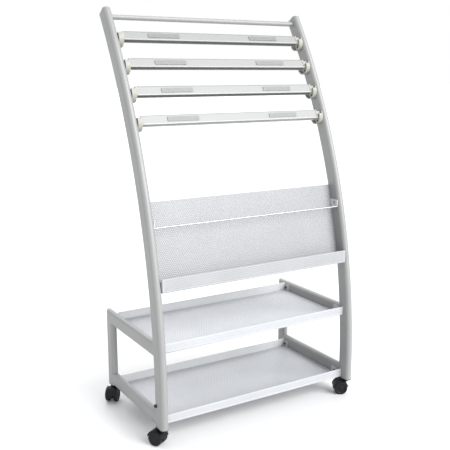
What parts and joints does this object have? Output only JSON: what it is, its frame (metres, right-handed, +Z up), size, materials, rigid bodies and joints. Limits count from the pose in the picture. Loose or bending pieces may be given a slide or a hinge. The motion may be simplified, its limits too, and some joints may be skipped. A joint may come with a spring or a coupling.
{
  "type": "newspaper rack",
  "caption": "Wheeled newspaper and magazine rack with curved posts, lift-out newspaper clamps, a leaning perforated display panel and perforated tray shelves.",
  "frame": {"origin": "on the floor, under the centre of the rack's outline with the casters as they rest", "axes": "+Z up, -Y to the front where the clamps and magazines face, +X to the right seen from the front"},
  "size_m": [0.6928, 0.3675, 1.132],
  "materials": {
    "painted_frame": "satin silver-grey powder coat",
    "painted_sheet": "satin pale grey powder coat on perforated sheet",
    "clamp_aluminium": "fine anodised",
    "cream_plastic": "fine moulded",
    "grey_plastic": "fine moulded",
    "dark_plastic": "fine moulded",
    "black_plastic": "semi-matt moulded",
    "black_tyre": "semi-matt moulded",
    "bright_steel": "zinc plated",
    "zinc_steel": "zinc plated",
    "dark_steel": "black oxide"
  },
  "bodies": {
    "frame": {"left_post": "painted_frame", "right_post": "painted_frame", "post_caps": "grey_plastic", "left_rear_leg": "painted_frame", "right_rear_leg": "painted_frame", "left_upper_rail": "painted_frame", "right_upper_rail": "painted_frame", "left_lower_rail": "painted_frame", "right_lower_rail": "painted_frame", "top_bar": "painted_frame", "display_panel": "painted_sheet", "retaining_rod": "bright_steel", "mid_shelf": "painted_sheet", "bottom_shelf": "painted_sheet", "shelf_screws": "dark_steel", "small_screws": "zinc_steel", "post_bolts": "dark_steel", "caster_sockets": "black_plastic", "left_cradles": "cream_plastic", "right_cradles": "cream_plastic"},
    "caster_front_left": {"caster_front_left_stem": "bright_steel", "caster_front_left_housing": "black_plastic", "caster_front_left_axle": "bright_steel"},
    "caster_front_left_outer_wheel": {"caster_front_left_outer_wheel": "black_tyre"},
    "caster_front_left_inner_wheel": {"caster_front_left_inner_wheel": "black_tyre"},
    "caster_front_right": {"caster_front_right_stem": "bright_steel", "caster_front_right_housing": "black_plastic", "caster_front_right_axle": "bright_steel"},
    "caster_front_right_outer_wheel": {"caster_front_right_outer_wheel": "black_tyre"},
    "caster_front_right_inner_wheel": {"caster_front_right_inner_wheel": "black_tyre"},
    "caster_rear_left": {"caster_rear_left_stem": "bright_steel", "caster_rear_left_housing": "black_plastic", "caster_rear_left_axle": "bright_steel"},
    "caster_rear_left_outer_wheel": {"caster_rear_left_outer_wheel": "black_tyre"},
    "caster_rear_left_inner_wheel": {"caster_rear_left_inner_wheel": "black_tyre"},
    "caster_rear_right": {"caster_rear_right_stem": "bright_steel", "caster_rear_right_housing": "black_plastic", "caster_rear_right_axle": "bright_steel"},
    "caster_rear_right_outer_wheel": {"caster_rear_right_outer_wheel": "black_tyre"},
    "caster_rear_right_inner_wheel": {"caster_rear_right_inner_wheel": "black_tyre"},
    "clamp_1": {"clamp_1_channel": "clamp_aluminium", "clamp_1_end_caps": "cream_plastic", "clamp_1_hinge_pin": "bright_steel"},
    "clamp_1_jaw": {"clamp_1_jaw": "dark_plastic"},
    "clamp_2": {"clamp_2_channel": "clamp_aluminium", "clamp_2_end_caps": "cream_plastic", "clamp_2_hinge_pin": "bright_steel"},
    "clamp_2_jaw": {"clamp_2_jaw": "dark_plastic"},
    "clamp_3": {"clamp_3_channel": "clamp_aluminium", "clamp_3_end_caps": "cream_plastic", "clamp_3_hinge_pin": "bright_steel"},
    "clamp_3_jaw": {"clamp_3_jaw": "dark_plastic"},
    "clamp_4": {"clamp_4_channel": "clamp_aluminium", "clamp_4_end_caps": "cream_plastic", "clamp_4_hinge_pin": "bright_steel"},
    "clamp_4_jaw": {"clamp_4_jaw": "dark_plastic"}
  },
  "joints": [
    {"name": "caster_front_left_swivel", "type": "hinge", "parent": "frame", "child": "caster_front_left", "pos_m": [-0.31, -0.16125, 0.04], "axis": [0, 0, 1], "continuous": true},
    {"name": "caster_front_left_outer_wheel_spin", "type": "hinge", "parent": "caster_front_left", "child": "caster_front_left_outer_wheel", "pos_m": [-0.317, -0.14913, 0.02], "axis": [0.866, 0.5, 0], "continuous": true},
    {"name": "caster_front_left_inner_wheel_spin", "type": "hinge", "parent": "caster_front_left", "child": "caster_front_left_inner_wheel", "pos_m": [-0.317, -0.14913, 0.02], "axis": [0.866, 0.5, 0], "continuous": true},
    {"name": "caster_front_right_swivel", "type": "hinge", "parent": "frame", "child": "caster_front_right", "pos_m": [0.31, -0.16125, 0.04], "axis": [0, 0, 1], "continuous": true},
    {"name": "caster_front_right_outer_wheel_spin", "type": "hinge", "parent": "caster_front_right", "child": "caster_front_right_outer_wheel", "pos_m": [0.29788, -0.15425, 0.02], "axis": [0.5, 0.866, 0], "continuous": true},
    {"name": "caster_front_right_inner_wheel_spin", "type": "hinge", "parent": "caster_front_right", "child": "caster_front_right_inner_wheel", "pos_m": [0.29788, -0.15425, 0.02], "axis": [0.5, 0.866, 0], "continuous": true},
    {"name": "caster_rear_left_swivel", "type": "hinge", "parent": "frame", "child": "caster_rear_left", "pos_m": [-0.31, 0.16375, 0.04], "axis": [0, 0, 1], "continuous": true},
    {"name": "caster_rear_left_outer_wheel_spin", "type": "hinge", "parent": "caster_rear_left", "child": "caster_rear_left_outer_wheel", "pos_m": [-0.319, 0.15303, 0.02], "axis": [-0.766, 0.6428, 0], "continuous": true},
    {"name": "caster_rear_left_inner_wheel_spin", "type": "hinge", "parent": "caster_rear_left", "child": "caster_rear_left_inner_wheel", "pos_m": [-0.319, 0.15303, 0.02], "axis": [-0.766, 0.6428, 0], "continuous": true},
    {"name": "caster_rear_right_swivel", "type": "hinge", "parent": "frame", "child": "caster_rear_right", "pos_m": [0.31, 0.16375, 0.04], "axis": [0, 0, 1], "continuous": true},
    {"name": "caster_rear_right_outer_wheel_spin", "type": "hinge", "parent": "caster_rear_right", "child": "caster_rear_right_outer_wheel", "pos_m": [0.319, 0.15303, 0.02], "axis": [-0.766, -0.6428, 0], "continuous": true},
    {"name": "caster_rear_right_inner_wheel_spin", "type": "hinge", "parent": "caster_rear_right", "child": "caster_rear_right_inner_wheel", "pos_m": [0.319, 0.15303, 0.02], "axis": [-0.766, -0.6428, 0], "continuous": true},
    {"name": "clamp_1_lift", "type": "slide", "parent": "frame", "child": "clamp_1", "axis": [0, 0.5032, 0.8642], "range_m": [0, 0.038]},
    {"name": "clamp_1_jaw_hinge", "type": "hinge", "parent": "clamp_1", "child": "clamp_1_jaw", "pos_m": [0, 0.09327, 1.05501], "axis": [1, 0, 0], "range_deg": [0, 30]},
    {"name": "clamp_2_lift", "type": "slide", "parent": "frame", "child": "clamp_2", "axis": [0, 0.4661, 0.8847], "range_m": [0, 0.038]},
    {"name": "clamp_2_jaw_hinge", "type": "hinge", "parent": "clamp_2", "child": "clamp_2_jaw", "pos_m": [0, 0.0542, 0.98494], "axis": [1, 0, 0], "range_deg": [0, 30]},
    {"name": "clamp_3_lift", "type": "slide", "parent": "frame", "child": "clamp_3", "axis": [0, 0.4283, 0.9036], "range_m": [0, 0.038]},
    {"name": "clamp_3_jaw_hinge", "type": "hinge", "parent": "clamp_3", "child": "clamp_3_jaw", "pos_m": [0, 0.01812, 0.91329], "axis": [1, 0, 0], "range_deg": [0, 30]},
    {"name": "clamp_4_lift", "type": "slide", "parent": "frame", "child": "clamp_4", "axis": [0, 0.3897, 0.921], "range_m": [0, 0.038]},
    {"name": "clamp_4_jaw_hinge", "type": "hinge", "parent": "clamp_4", "child": "clamp_4_jaw", "pos_m": [0, -0.01489, 0.84017], "axis": [1, 0, 0], "range_deg": [0, 30]}
  ]
}
